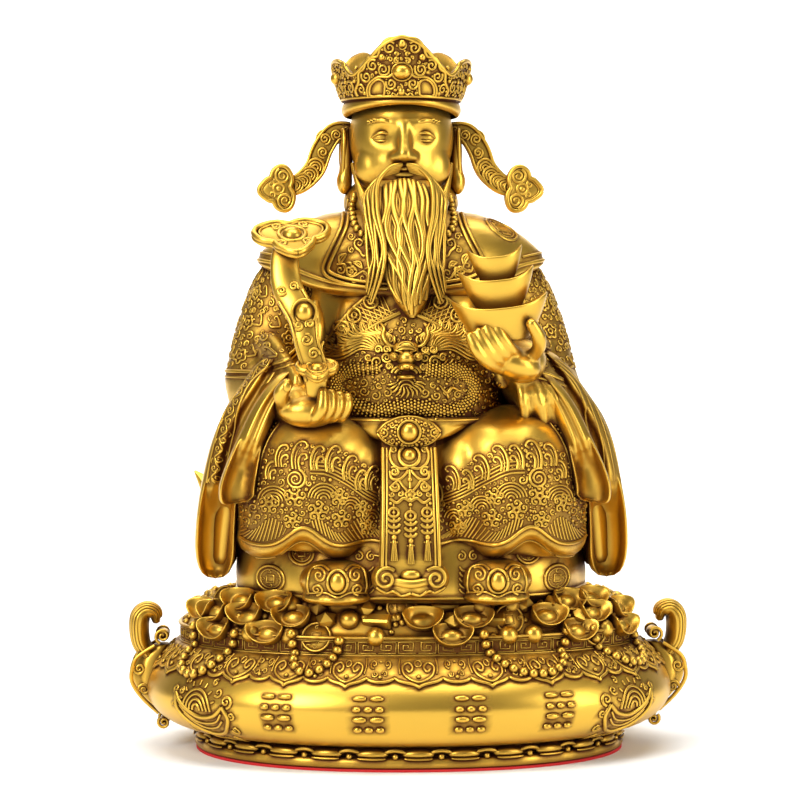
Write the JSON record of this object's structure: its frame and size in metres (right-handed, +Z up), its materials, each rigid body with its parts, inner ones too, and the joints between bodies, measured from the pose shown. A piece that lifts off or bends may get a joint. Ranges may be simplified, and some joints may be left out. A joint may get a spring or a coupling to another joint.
{
  "type": "seated fortune god statue",
  "caption": "Cast brass seated fortune god with winged hat, ruyi sceptre and nested ingots, on an ingot-shaped base heaped with treasure.",
  "frame": {"origin": "centre of the base's underside, on the surface the statue stands on", "axes": "+Z up, the figure faces -Y, +X towards the viewer's right"},
  "size_m": [0.2778, 0.192, 0.351],
  "materials": {
    "pad_flock": "matt red flock",
    "base_brass": "satin, with brown antique patina in the recesses",
    "figure_brass": "satin, with brown antique patina in the recesses",
    "wing_brass": "satin, with brown antique patina in the recesses",
    "sceptre_brass": "satin, with brown antique patina in the recesses",
    "ingot_brass": "polished satin"
  },
  "bodies": {
    "root": {"base_pad": "pad_flock", "ingot_base": "base_brass", "seated_figure": "figure_brass", "hat_wing_left": "wing_brass", "hat_wing_right": "wing_brass", "ruyi_sceptre": "sceptre_brass", "ingot_stack": "ingot_brass"}
  },
  "joints": []
}
